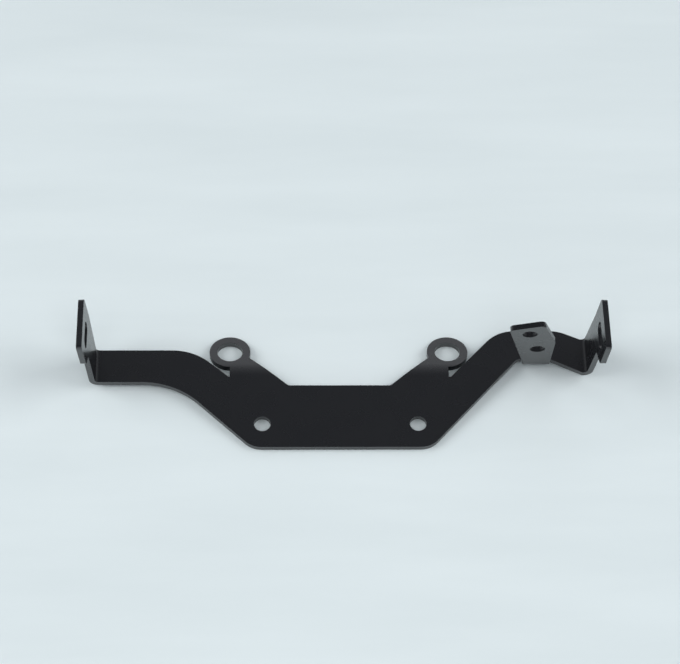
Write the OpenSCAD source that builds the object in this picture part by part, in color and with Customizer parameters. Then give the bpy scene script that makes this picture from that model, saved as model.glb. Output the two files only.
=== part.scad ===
// Instrument bracket: one steel sheet, cut flat and then folded.
// The origin is midway between the plate's two holes, on the plate's underside.
// X runs along the plate, Y runs to the back, Z runs up. Lengths are in mm.

/* [Sheet] */
// Sheet thickness, with its coating
sheet = 2.2; // [1:0.1:3]
// Inner radius of the flange and tab folds
fold_radius = 1.5; // [0.5:0.1:3]

/* [Plate] */
// Distance between the two plate holes
hole_spacing = 60; // [50:0.5:65]
// Plate hole diameter
hole_dia = 6.4; // [4:0.1:9]
// Plate edge in front of the holes
plate_front = 10.3; // [8:0.1:14]
// Plate edge behind the holes
plate_back = 17.2; // [15:0.1:20]
// Half the length of the plate's straight back edge
plate_back_half = 19.9; // [16:0.1:24]
// Centre to the plate's left front corner, before its rounding
left_corner_x = 33.9; // [30:0.1:38]
// Centre to the plate's right front corner, before its rounding
right_corner_x = 34.8; // [30:0.1:38]
// Rounding of the plate's two front corners
front_corner_r = 9; // [4:0.5:12]

/* [Arms] */
// Centre to the inside of the left flange's fold
left_reach = 94.8; // [90:0.1:105]
// Centre to the inside of the right flange's fold
right_reach = 97; // [90:0.1:105]
// Width of an arm
arm_width = 14.5; // [12:0.1:16]
// Slope of the left arm where it leaves the plate
left_slope = 44; // [40:0.5:48]
// Slope of the right arm where it leaves the plate
right_slope = 48.4; // [44:0.2:52]
// Front edge of the left arm's straight end
left_end_y = 18.7; // [16:0.1:21]
// Front edge of the right arm's middle, where the tab stands
right_mid_y = 27.6; // [25:0.1:30]
// Slope of the right arm's end, forward to its flange
right_end_slope = 25.4; // [20:0.2:30]
// Where the right arm's back edge turns forward
right_end_x = 86.6; // [84:0.1:90]
// Rounding of the left arm's front edge
left_front_r = 32; // [20:1:40]
// Rounding of the left arm's back edge
left_back_r = 22; // [15:1:30]
// Rounding of the right arm's back edge
right_back_r = 15; // [8:1:18]

/* [Flanges] */
// Fold angle of the flanges
flange_fold = 85; // [75:0.2:90]
// Flange height above the plate's top face
flange_height = 32.6; // [28:0.1:38]
// Height of the neck's straight front edge
neck_height = 17.2; // [12:0.1:18]
// Height of the head's lower front corner
head_low_height = 20.8; // [19:0.1:26]
// Line that both necks' front edges lean towards
neck_line_y = 20.5; // [18:0.1:24]
// Front edge of both flange heads
head_front_y = 14.1; // [12:0.1:18]
// Back edge of both flange heads
head_back_y = 36.4; // [34:0.1:38]
// Rounding of the heads' top corners
head_corner_r = 1.5; // [0.5:0.1:4]
// Slot width
slot_width = 5.5; // [4.5:0.1:7]
// Slot length, end to end
slot_length = 11; // [9:0.1:15]
// Slot centre, to the back of the plate holes
slot_y = 24.6; // [20:0.1:27]
// Slot centre above the plate's top face
slot_height = 24.9; // [20:0.1:27]

/* [Ears] */
// Fold angle of the ears, downward
ear_fold = 12; // [6:0.5:20]
// Inner radius of the ears' soft folds
ear_fold_radius = 28; // [10:0.5:30]
// Distance between the two ring centres
ring_spacing = 85.4; // [82:0.1:88]
// Fold to ring centre, along the ear's top face
ring_reach = 9.4; // [9:0.1:13]
// Outer diameter of a ring
ring_dia = 16; // [14:0.1:18]
// Hole diameter of a ring
ring_hole_dia = 10; // [7:0.1:12]

/* [Tab] */
// Fold angle of the tab
tab_fold = 81; // [75:0.5:90]
// Left end of the tab's fold
tab_left_x = 71.9; // [70:0.1:74]
// Length of the tab's fold
tab_width = 10.5; // [9:0.1:12]
// Height of the tab's right top corner above the plate's top face
tab_height = 37.4; // [32:0.1:42]
// Height at which the tab's right edge starts to lean
tab_bend_height = 21.5; // [16:0.1:25]
// Lean of the tab's left edge
tab_left_lean = 14.4; // [8:0.2:18]
// Lean of the tab's right edge above its bend
tab_right_lean = 19.6; // [12:0.2:22]
// Rounding of the tab's top corners
tab_corner_r = 2; // [0.5:0.1:4]
// Tab hole diameter
tab_hole_dia = 5.7; // [4:0.1:6]
// Height of the lower tab hole above the plate's top face
lower_hole_height = 15.5; // [12:0.1:18]
// Height of the upper tab hole above the plate's top face
upper_hole_height = 29.5; // [26:0.1:31]
// Width of the relief slit at each end of the tab's fold
relief_width = 0.4; // [0.3:0.1:1]
// Left end of the tab's fold to the lower tab hole
lower_hole_x = 4.2; // [3:0.1:8]
// Left end of the tab's fold to the upper tab hole
upper_hole_x = -0.1; // [-1:0.1:3]

/* [Hidden] */
$fn = 96;

// Straight piece at the foot of each fold, which laps into the flat sheet
fold_root = 0.5;
// Half the depth of the shapes that trim a folded piece
cutter = 20;
// Extra radius that makes each arc cross the edges it rounds
arc_overlap = 0.0005;
// How far each corner piece reaches past its corner. It stays under the sheet thickness.
corner_lap = 0.4;
// Rounding below a flange head's front edge and back edge, and at the neck
head_edge_r = 1.5;
head_back_r = 8;
neck_edge_r = 2;
// Rounding of the plate's back corners, and of the tab's right edge
plate_back_r = 2;
tab_bend_r = 4;
// Gap between the plate's back edge and the ear folds
ear_gap = 4.1;
// Width of the notch between each ear and its arm, and how far it cuts below the fold
left_notch_width = 0.5;
left_notch_depth = 0.1;
right_notch_width = 0.9;
right_notch_depth = 0.2;
// How far each relief slit cuts past the start of the tab's bend
relief_depth = 0.2;
// How far the tab's face stands in front of the right arm's middle
tab_inset = 0.5;
// Steps of the right arm's front edge at the tab's two relief slits
left_step = 1.6;
right_step = 1.5;
// Rounding of that edge where it levels off in front of the left slit
level_r = 3;
// Straight part of an ear behind its fold, up to its ring
ear_straight = 9.5;

// Distance from each bend's start to the corner that its straight faces would form.
// The flanges and the tab use their inner faces, and the ears their top faces.
flange_setback = fold_radius * tan(flange_fold / 2);
tab_setback = fold_radius * tan(tab_fold / 2);
ear_setback = (ear_fold_radius + sheet) * tan(ear_fold / 2);

// Lines where the bends start
left_line_x = left_reach - flange_setback;
right_line_x = right_reach - flange_setback;
tab_line_y = right_mid_y + (fold_radius + sheet) * tan(tab_fold / 2) - tab_inset;
ear_line_y = plate_back + ear_gap;

// Outer edge of each ear, under its ring's centre
ear_side_x = ring_spacing / 2;
ear_slope = 41.2;
left_back_slope = 41;

left_back_y = left_end_y + arm_width;
right_back_y = right_mid_y + arm_width;

function along(angle) = [cos(angle), sin(angle)];

// Crossing of the line through p at angle a with the line through q at angle b
function meet(p, a, q, b) =
  p + along(a) * cross(q - p, along(b)) / cross(along(a), along(b));

// Points that fix the sloping edges
plate_corner = [plate_back_half, plate_back];
left_front_corner = [-left_corner_x, -plate_front];
right_front_corner = [right_corner_x, -plate_front];
left_notch = [-ear_side_x - left_notch_width, ear_line_y - left_notch_depth];
right_notch = [ear_side_x + right_notch_width, ear_line_y - right_notch_depth];
right_end_front = [tab_left_x + tab_width + relief_width, right_mid_y + right_step];
right_end_back = [right_end_x, right_back_y];

// Ear edge point at the ear's fold line
ear_inner = meet(plate_corner, ear_slope, [0, ear_line_y], 0);

// Right arm's corners at its flange fold, where its edges turn square to the fold
right_tip_x = right_line_x - fold_root;
right_tip_front = meet(right_end_front, -right_end_slope - 1, [right_tip_x, 0], 90);
right_tip_back = meet(right_end_back, -right_end_slope + 1, [right_tip_x, 0], 90);

// Tab holes, from the start of the tab's bend and from its left end
lower_tab_hole = [lower_hole_height / sin(tab_fold) - tab_setback, lower_hole_x];
upper_tab_hole = [upper_hole_height / sin(tab_fold) - tab_setback, upper_hole_x];

relief_left_x = tab_left_x - relief_width;
relief_right_x = tab_left_x + tab_width + relief_width;
relief_top_y = tab_line_y + relief_depth;
level_y = right_mid_y + left_step;

// Flat outline, counterclockwise. Each entry is a corner and its radius.
flat_corners = [
  [left_front_corner, front_corner_r],
  [right_front_corner, front_corner_r],
  [meet(right_front_corner, right_slope, [0, level_y], 0), level_r],
  [[relief_left_x, level_y], 0],
  [[relief_left_x, relief_top_y], 0],
  [[relief_right_x, relief_top_y], 0],
  [right_end_front, 0],
  [right_tip_front, 0],
  [[right_line_x, right_tip_front[1]], 0],
  [[right_line_x, right_tip_back[1]], 0],
  [right_tip_back, 0],
  [right_end_back, right_back_r],
  [meet(right_notch, right_slope - 0.8, right_end_back, 0), right_back_r],
  [right_notch, 0],
  [[ear_side_x, right_notch[1]], 0],
  [[ear_side_x, ear_line_y], 0],
  [ear_inner, 0],
  [plate_corner, plate_back_r],
  [[-plate_corner[0], plate_corner[1]], plate_back_r],
  [[-ear_inner[0], ear_inner[1]], 0],
  [[-ear_side_x, ear_line_y], 0],
  [[-ear_side_x, left_notch[1]], 0],
  [left_notch, 0],
  [meet(left_notch, -left_back_slope, [0, left_back_y], 0), left_back_r],
  [[-left_line_x, left_back_y], 0],
  [[-left_line_x, left_end_y], 0],
  [meet(left_front_corner, 180 - left_slope, [0, left_end_y], 0), left_front_r]
];

function unit(v) = v / norm(v);
function corner(c, i) = c[(i + len(c)) % len(c)][0];
function to_last(c, i) = unit(corner(c, i - 1) - corner(c, i));
function to_next(c, i) = unit(corner(c, i + 1) - corner(c, i));
function half_angle(c, i) = acos(to_last(c, i) * to_next(c, i)) / 2;
function arc_centre(c, i) =
  corner(c, i) + unit(to_last(c, i) + to_next(c, i)) * c[i][1] / sin(half_angle(c, i));

// The two points where a corner's arc begins and ends
function arc_ends(c, i) =
  let (reach = c[i][1] / tan(half_angle(c, i)))
  [corner(c, i) + reach * to_last(c, i), corner(c, i) + reach * to_next(c, i)];

function is_convex(c, i) = cross(to_next(c, i), to_last(c, i)) > 0;

// Area between a corner and its arc. The arc is a hair large, so it crosses both edges.
module corner_piece(c, i) {
  ends = arc_ends(c, i);
  centre = arc_centre(c, i);
  difference() {
    polygon([ends[0], corner(c, i) + corner_lap * unit(corner(c, i) - centre), ends[1]]);
    translate(centre) circle(c[i][1] + arc_overlap);
  }
}

// Closed outline with true arcs at its rounded corners
module outline(c) {
  rounded = [for (i = [0 : len(c) - 1]) if (c[i][1] > 0) i];
  difference() {
    polygon([for (entry = c) entry[0]]);
    for (i = rounded) if (is_convex(c, i)) corner_piece(c, i);
  }
  for (i = rounded) if (!is_convex(c, i)) corner_piece(c, i);
}

// Side view of a fold: a short root, the bend, and a straight length past it
module fold_profile(angle, radius, length) {
  inside = [radius * tan(angle / 2), sheet];
  outside = [(radius + sheet) * tan(angle / 2), 0];
  past_bend = outside[0] + length;
  outline([
    [[-fold_root, 0], 0],
    [outside, radius + sheet],
    [outside + past_bend * along(angle), 0],
    [outside + past_bend * along(angle) + sheet * along(angle + 90), 0],
    [inside, radius],
    [[-fold_root, sheet], 0]
  ]);
}

// Sheet that runs out along X, then turns up
module folded_sheet(width, angle, radius, length) {
  translate([0, width, 0])
    rotate([90, 0, 0])
      linear_extrude(width) fold_profile(angle, radius, length);
}

// Carries a flat shape round a fold, and makes it a thick cutter there
module past_fold(angle, radius) {
  translate([0, 0, sheet + radius])
    rotate([0, -angle, 0])
      translate([0, 0, -sheet - radius - cutter])
        linear_extrude(2 * cutter) children();
}

// Plate and both arms, still flat
module flat_sheet() {
  difference() {
    linear_extrude(sheet) outline(flat_corners);
    for (side = [-1, 1])
      translate([side * hole_spacing / 2, 0, -1])
        cylinder(d = hole_dia, h = sheet + 2);
  }
}

module slot() {
  straight = slot_length - slot_width;
  square([slot_width, straight], center = true);
  for (side = [-1, 1])
    translate([0, side * straight / 2]) circle(d = slot_width);
}

// Flange folded up at an arm's end. The base edges belong to that arm.
module flange(line_x, base_front, base_back) {
  length = flange_height / sin(flange_fold) - flange_setback;
  bend_top = sheet + fold_radius * (1 - cos(flange_fold));
  head_low = sheet + head_low_height;
  over = sheet + flange_height + cutter;
  head = [
    [[0, head_front_y], 0],
    [[length, head_front_y], head_corner_r],
    [[length, head_back_y], head_corner_r],
    [[0, head_back_y], 0]
  ];
  translate([line_x, 0, 0])
    difference() {
      intersection() {
        folded_sheet(2 * head_back_y, flange_fold, fold_radius, length);
        translate([-cutter, 0, 0])
          rotate([90, 0, 90])
            linear_extrude(2 * cutter)
              outline([
                [[base_front, -cutter], 0],
                [[base_back, -cutter], 0],
                [[base_back, bend_top], 0],
                [[head_back_y, head_low], head_back_r],
                [[head_back_y, over], 0],
                [[head_front_y, over], 0],
                [[head_front_y, head_low], head_edge_r],
                [[(base_front + neck_line_y) / 2, sheet + neck_height], neck_edge_r],
                [[base_front, bend_top], 0]
              ]);
      }
      past_fold(flange_fold, fold_radius) {
        corner_piece(head, 1);
        corner_piece(head, 2);
        translate([slot_height / sin(flange_fold) - flange_setback, slot_y]) slot();
      }
    }
}

// Ear folded down behind the plate, with its ring.
// Its frame lies upside down: X to the back, Y along the plate, Z down.
module ear() {
  ring_x = ring_reach - ear_setback;
  back_y = ear_inner[0] + ear_straight / tan(ear_slope);
  translate([0, ear_line_y, sheet])
    mirror([0, 0, 1])
      mirror([1, -1, 0])
        difference() {
          intersection() {
            folded_sheet(ear_side_x + ring_dia, ear_fold, ear_fold_radius, 2 * ring_reach);
            union() {
              translate([0, 0, -cutter])
                linear_extrude(2 * cutter)
                  polygon([
                    [-fold_root, ear_inner[0] + fold_root],
                    [0, ear_inner[0]],
                    [ear_straight, back_y],
                    [ear_straight, ear_side_x],
                    [-fold_root, ear_side_x]
                  ]);
              past_fold(ear_fold, ear_fold_radius)
                translate([ring_x, ear_side_x]) circle(d = ring_dia);
            }
          }
          past_fold(ear_fold, ear_fold_radius)
            translate([ring_x, ear_side_x]) circle(d = ring_hole_dia);
        }
}

// Tab folded up from the front edge of the right arm.
// Its frame: X to the front, Y along the arm, Z up.
module tab() {
  top = tab_height / sin(tab_fold) - tab_setback;
  right_bend = [tab_bend_height / sin(tab_fold) - tab_setback, tab_width];
  right_top = meet(right_bend, -tab_right_lean, [top, 0], 90);
  left_top = meet([0, 0], -tab_left_lean, right_top, 90 - tab_right_lean);
  translate([tab_left_x, tab_line_y, 0])
    rotate([0, 0, -90])
      intersection() {
        translate([0, -tab_height, 0])
          folded_sheet(2 * tab_height, tab_fold, fold_radius, tab_height);
        past_fold(tab_fold, fold_radius)
          difference() {
            outline([
              [[-cutter, 0], 0],
              [[0, 0], 0],
              [left_top, tab_corner_r],
              [right_top, tab_corner_r],
              [right_bend, tab_bend_r],
              [[0, tab_width], 0],
              [[-cutter, tab_width], 0]
            ]);
            translate(lower_tab_hole) circle(d = tab_hole_dia);
            translate(upper_tab_hole) circle(d = tab_hole_dia);
          }
      }
}

// The whole folded sheet
module bracket() {
  color([0.05, 0.05, 0.055])
    union() {
      flat_sheet();
      flange(right_line_x, right_tip_front[1], right_tip_back[1]);
      mirror([1, 0, 0]) flange(left_line_x, left_end_y, left_back_y);
      ear();
      mirror([1, 0, 0]) ear();
      tab();
    }
}

bracket();
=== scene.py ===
import math

import bmesh
import bpy
from mathutils import Matrix, Vector


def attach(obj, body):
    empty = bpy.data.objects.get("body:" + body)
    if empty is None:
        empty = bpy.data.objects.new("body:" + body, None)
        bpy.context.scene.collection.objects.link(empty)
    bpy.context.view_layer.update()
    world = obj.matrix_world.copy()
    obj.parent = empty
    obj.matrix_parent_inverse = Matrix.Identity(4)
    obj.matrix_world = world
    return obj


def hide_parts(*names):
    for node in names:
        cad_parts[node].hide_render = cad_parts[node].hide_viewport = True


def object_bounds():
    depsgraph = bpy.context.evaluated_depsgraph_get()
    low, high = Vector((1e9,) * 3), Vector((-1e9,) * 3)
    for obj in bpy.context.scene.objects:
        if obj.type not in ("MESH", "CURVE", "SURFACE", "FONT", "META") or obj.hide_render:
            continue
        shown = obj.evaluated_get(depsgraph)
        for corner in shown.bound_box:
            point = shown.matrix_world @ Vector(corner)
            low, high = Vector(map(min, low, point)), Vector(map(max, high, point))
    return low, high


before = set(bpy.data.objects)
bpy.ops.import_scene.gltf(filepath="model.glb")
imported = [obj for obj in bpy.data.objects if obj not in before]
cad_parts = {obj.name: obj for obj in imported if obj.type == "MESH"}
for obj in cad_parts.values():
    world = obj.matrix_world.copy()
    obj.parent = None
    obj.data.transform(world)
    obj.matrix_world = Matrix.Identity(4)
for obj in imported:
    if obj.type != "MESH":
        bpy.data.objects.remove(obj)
cad_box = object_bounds()

scene = bpy.context.scene
scene.view_settings.view_transform = "Standard"

# Blender works in metres, and the part's own sizes are written in millimetres
MM = 0.001

# Camera, at the photograph's angle: its place, the direction of the picture's right side, and
# the direction from the part back to the camera
CAMERA_PLACE = Vector((-27.9, -442.5, 768.6)) * MM
CAMERA_RIGHT = Vector((0.99951, -0.01678, 0.02655))
CAMERA_BACK = Vector((-0.03141, -0.53384, 0.84499))
CAMERA_LENS = 121.76
CAMERA_SENSOR = 36
CAMERA_NEAR = 0.01
CAMERA_FAR = 20

# Bracket: what counts as one point, a flat face and a cut edge, and how far that edge is rounded
SAME_POINT = 0.002 * MM
FLAT_ANGLE = math.radians(0.3)
CUT_EDGE_ANGLE = math.radians(35)
CUT_EDGE_ROUNDING = 0.1 * MM
CUT_EDGE_SEGMENTS = 2

# Black powder coat. The scales of all textures are in cycles a metre.
COAT_COLOUR = (0.005, 0.0056, 0.0073, 1)
COAT_IOR = 1.95
COAT_SMOOTHEST = 0.24
COAT_ROUGHEST = 0.31
SHEEN_SCALE = 90
SHEEN_DETAIL = 3
PEEL_SCALE = 1600
PEEL_DETAIL = 2
PEEL_HEIGHT = 0.02 * MM
PEEL_STRENGTH = 0.06

# Floor: its size in metres, and the hair's breadth between it and the part
FLOOR_HALF_WIDTH = 3
FLOOR_GAP = 0.02 * MM

# Floor paint, brushed from side to side
FLOOR_ROUGHNESS = 0.7
FLOOR_SPECULAR = 0.2
FLOOR_DARKER = (0.7, 0.78, 0.8, 1)
FLOOR_LIGHTER = (0.82, 0.9, 0.92, 1)
BRUSH_SCALE = 6
BRUSH_DETAIL = 6
BRUSH_STRETCH = (1, 6, 1)

# Specks in the paint. Their radii are shares of a cell, and the cells are a fourteenth of a metre.
SPECK_COLOUR = (0.16, 0.17, 0.18, 1)
SPECK_STRENGTH = 0.8
SPECK_SCALE = 14
SPECK_CORE_RADIUS = 0.005
SPECK_EDGE_RADIUS = 0.012

# Lamps, in metres and watts. The side lamps stand at both sides, a little behind the plate's holes.
LAMP_TARGET = Vector((0, 0, 0))
SIDE_LAMP_OUT = 1.25
SIDE_LAMP_BACK = 0.1
SIDE_LAMP_UP = 1.0
SIDE_LAMP_SIZE = (1.2, 1.2)
LEFT_LAMP_POWER = 13.3
RIGHT_LAMP_POWER = 12.3
FRONT_LAMP_PLACE = (0, -0.8, 1.5)
FRONT_LAMP_SIZE = (1.0, 0.8)
FRONT_LAMP_POWER = 7

# Sky, by how far up a direction points: pale low down, as the ears mirror it from behind the
# part, and dark overhead, as the plate mirrors it
SKY_STOPS = (
    (0.5, (0.76, 0.79, 0.83, 1)),
    (0.65, (0.27, 0.283, 0.304, 1)),
    (0.8, (0.1, 0.105, 0.114, 1)),
)

# The sky dims between these two points to the sides, so that the folds' bright line stays faint
SKY_DIM_START = 0.3
SKY_DIM_END = 0.6
SKY_SIDE_STRENGTH = 0.35


def add_object(name, data):
    made = bpy.data.objects.new(name, data)
    scene.collection.objects.link(made)
    return made


def add_node(tree, kind, **inputs):
    """A shader node with some inputs set. An underscore in a keyword stands for a space."""
    made = tree.nodes.new(kind)
    for key, value in inputs.items():
        made.inputs[key.replace("_", " ")].default_value = value
    return made


def add_noise(tree, scale, detail, stretch=(1, 1, 1)):
    """A noise texture in the object's own space. A higher stretch makes it finer along that axis."""
    coordinate = tree.nodes.new("ShaderNodeTexCoord")
    mapping = add_node(tree, "ShaderNodeMapping", Scale=stretch)
    texture = add_node(tree, "ShaderNodeTexNoise", Scale=scale, Detail=detail)
    tree.links.new(coordinate.outputs["Object"], mapping.inputs["Vector"])
    tree.links.new(mapping.outputs["Vector"], texture.inputs["Vector"])
    return texture.outputs["Fac"]


def add_colour_mix(tree, factor):
    """A mix of colour A into colour B by factor, with both colours still to be set."""
    mix = tree.nodes.new("ShaderNodeMix")
    mix.data_type = "RGBA"
    tree.links.new(factor, mix.inputs["Factor"])
    return mix


def new_material(name):
    material = bpy.data.materials.new(name)
    material.use_nodes = True
    tree = material.node_tree
    return material, tree, tree.nodes["Principled BSDF"]


def make_camera():
    right = CAMERA_RIGHT.normalized()
    back = (CAMERA_BACK - right * CAMERA_BACK.dot(right)).normalized()
    up = back.cross(right)
    turn = Matrix((right, up, back)).transposed().to_4x4()
    camera = add_object("camera", bpy.data.cameras.new("camera"))
    camera.matrix_world = Matrix.Translation(CAMERA_PLACE) @ turn
    camera.data.lens = CAMERA_LENS
    camera.data.sensor_width = CAMERA_SENSOR
    camera.data.clip_start = CAMERA_NEAR
    camera.data.clip_end = CAMERA_FAR
    scene.camera = camera


def black_coat():
    """Powder coat: fine orange peel, and a sheen that varies a little from place to place."""
    material, tree, shader = new_material("black_coat")
    shader.inputs["Base Color"].default_value = COAT_COLOUR
    shader.inputs["IOR"].default_value = COAT_IOR
    sheen = add_node(tree, "ShaderNodeMapRange", To_Min=COAT_SMOOTHEST, To_Max=COAT_ROUGHEST)
    tree.links.new(add_noise(tree, SHEEN_SCALE, SHEEN_DETAIL), sheen.inputs["Value"])
    tree.links.new(sheen.outputs["Result"], shader.inputs["Roughness"])
    peel = add_node(tree, "ShaderNodeBump", Strength=PEEL_STRENGTH, Distance=PEEL_HEIGHT)
    tree.links.new(add_noise(tree, PEEL_SCALE, PEEL_DETAIL), peel.inputs["Height"])
    tree.links.new(peel.outputs["Normal"], shader.inputs["Normal"])
    return material


def coated_mesh():
    """The CAD mesh, with each flat face whole and each bend smooth."""
    mesh = bpy.data.meshes.new("bracket_coated")
    work = bmesh.new()
    work.from_mesh(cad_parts["bracket"].data)
    bmesh.ops.remove_doubles(work, verts=work.verts, dist=SAME_POINT)
    bmesh.ops.dissolve_limit(work, angle_limit=FLAT_ANGLE, verts=work.verts, edges=work.edges)
    work.to_mesh(mesh)
    work.free()
    for polygon in mesh.polygons:
        polygon.use_smooth = True
    return mesh


def round_cut_edges(piece):
    """A narrow rounding on the cut edges, with the flat faces beside it still shaded flat."""
    bevel = piece.modifiers.new("edge", "BEVEL")
    bevel.width = CUT_EDGE_ROUNDING
    bevel.segments = CUT_EDGE_SEGMENTS
    bevel.limit_method = "ANGLE"
    bevel.angle_limit = CUT_EDGE_ANGLE
    bevel.face_strength_mode = "FSTR_AFFECTED"
    weighted = piece.modifiers.new("flat faces", "WEIGHTED_NORMAL")
    weighted.mode = "FACE_AREA"
    weighted.use_face_influence = True


def make_bracket():
    bracket = add_object("bracket_coated", coated_mesh())
    bracket.data.materials.append(black_coat())
    round_cut_edges(bracket)
    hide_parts("bracket")
    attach(bracket, "root")


def pale_floor():
    """Pale paint in soft brush strokes, with a dark speck where a cell's point is near the surface."""
    material, tree, shader = new_material("pale_floor")
    shader.inputs["Roughness"].default_value = FLOOR_ROUGHNESS
    shader.inputs["Specular IOR Level"].default_value = FLOOR_SPECULAR

    brushed = add_colour_mix(tree, add_noise(tree, BRUSH_SCALE, BRUSH_DETAIL, BRUSH_STRETCH))
    brushed.inputs["A"].default_value = FLOOR_DARKER
    brushed.inputs["B"].default_value = FLOOR_LIGHTER

    coordinate = tree.nodes.new("ShaderNodeTexCoord")
    cells = add_node(tree, "ShaderNodeTexVoronoi", Scale=SPECK_SCALE, Randomness=1)
    speck = add_node(tree, "ShaderNodeMapRange", From_Min=SPECK_CORE_RADIUS,
                     From_Max=SPECK_EDGE_RADIUS, To_Min=SPECK_STRENGTH, To_Max=0)
    tree.links.new(coordinate.outputs["Object"], cells.inputs["Vector"])
    tree.links.new(cells.outputs["Distance"], speck.inputs["Value"])

    specked = add_colour_mix(tree, speck.outputs["Result"])
    specked.inputs["B"].default_value = SPECK_COLOUR
    tree.links.new(brushed.outputs["Result"], specked.inputs["A"])
    tree.links.new(specked.outputs["Result"], shader.inputs["Base Color"])
    return material


def make_floor():
    """The plane that the plate's front edge and the tips of both rings rest on."""
    front_edge_y = cad_box[0][1]
    points = [vertex.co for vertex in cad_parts["bracket"].data.vertices]
    ring_tip = min(points, key=lambda point: point.z)

    mesh = bpy.data.meshes.new("floor")
    work = bmesh.new()
    bmesh.ops.create_grid(work, x_segments=1, y_segments=1, size=FLOOR_HALF_WIDTH)
    work.to_mesh(mesh)
    work.free()
    floor = add_object("floor", mesh)
    floor.location = (0, front_edge_y, -FLOOR_GAP)
    floor.rotation_euler.x = math.atan2(ring_tip.z, ring_tip.y - front_edge_y)
    mesh.materials.append(pale_floor())


def make_lamp(name, place, size, power):
    """A soft lamp with no image in the coat, as the photo shows none on the tab or in its holes."""
    light = bpy.data.lights.new(name, "AREA")
    light.shape = "RECTANGLE"
    light.size, light.size_y = size
    light.energy = power
    lamp = add_object(name, light)
    lamp.location = place
    lamp.rotation_euler = (LAMP_TARGET - lamp.location).to_track_quat("-Z", "Y").to_euler()
    lamp.visible_glossy = False


def make_lamps():
    for name, side, power in (("lamp_left", -1, LEFT_LAMP_POWER), ("lamp_right", 1, RIGHT_LAMP_POWER)):
        place = (side * SIDE_LAMP_OUT, SIDE_LAMP_BACK, SIDE_LAMP_UP)
        make_lamp(name, place, SIDE_LAMP_SIZE, power)
    make_lamp("lamp_front", FRONT_LAMP_PLACE, FRONT_LAMP_SIZE, FRONT_LAMP_POWER)


def make_sky():
    world = bpy.data.worlds.new("studio")
    scene.world = world
    world.use_nodes = True
    tree = world.node_tree
    tree.nodes.clear()
    direction = tree.nodes.new("ShaderNodeTexCoord")
    parts = tree.nodes.new("ShaderNodeSeparateXYZ")
    colour = tree.nodes.new("ShaderNodeValToRGB")
    sideways = tree.nodes.new("ShaderNodeMath")
    sideways.operation = "ABSOLUTE"
    strength = add_node(tree, "ShaderNodeMapRange", From_Min=SKY_DIM_START, From_Max=SKY_DIM_END,
                        To_Min=1, To_Max=SKY_SIDE_STRENGTH)
    background = tree.nodes.new("ShaderNodeBackground")
    output = tree.nodes.new("ShaderNodeOutputWorld")
    tree.links.new(direction.outputs["Generated"], parts.inputs["Vector"])
    tree.links.new(parts.outputs["Z"], colour.inputs["Fac"])
    tree.links.new(colour.outputs["Color"], background.inputs["Color"])
    tree.links.new(parts.outputs["X"], sideways.inputs[0])
    tree.links.new(sideways.outputs["Value"], strength.inputs["Value"])
    tree.links.new(strength.outputs["Result"], background.inputs["Strength"])
    tree.links.new(background.outputs["Background"], output.inputs["Surface"])

    stops = colour.color_ramp.elements
    while len(stops) > 1:
        stops.remove(stops[-1])
    stops[0].position, stops[0].color = SKY_STOPS[0]
    for place, stop_colour in SKY_STOPS[1:]:
        stops.new(place).color = stop_colour


make_camera()
make_bracket()
make_floor()
make_lamps()
make_sky()
